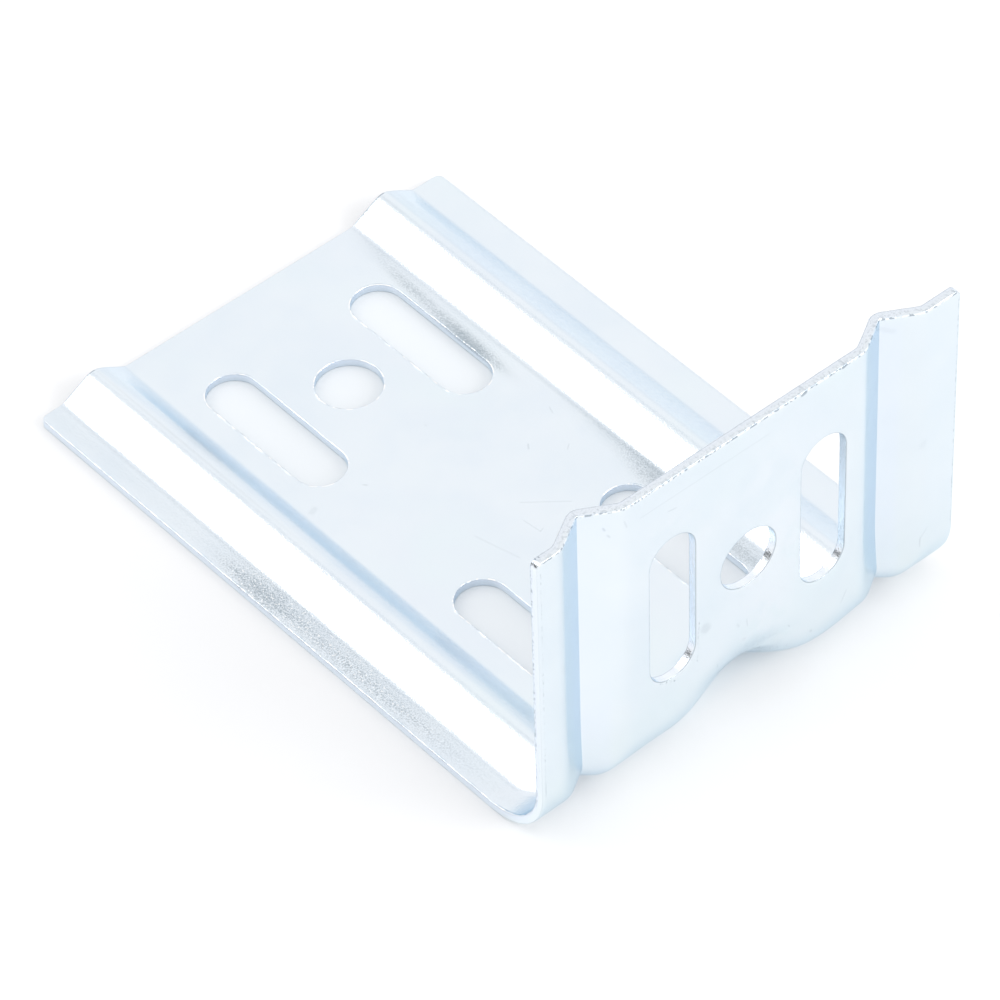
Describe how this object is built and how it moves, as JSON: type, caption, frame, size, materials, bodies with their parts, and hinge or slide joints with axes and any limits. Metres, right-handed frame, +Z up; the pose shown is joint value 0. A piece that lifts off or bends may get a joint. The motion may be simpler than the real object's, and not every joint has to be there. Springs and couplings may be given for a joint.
{
  "type": "cable tray wall bracket",
  "caption": "L-shaped bracket folded from one slotted steel strip with pressed stiffening ridges, for fixing cable tray to a wall.",
  "frame": {"origin": "middle of the long leg's underside: the centre of the foot of the bounding box", "axes": "+X along the long leg towards the short leg, +Y across the strip, +Z up along the short leg"},
  "size_m": [0.12, 0.083, 0.062],
  "materials": {
    "zinc_plated_steel": "bright zinc plating with a pale blue passivation, fine scratches and specks"
  },
  "bodies": {
    "root": {"folded_strip": "zinc_plated_steel"}
  },
  "joints": []
}
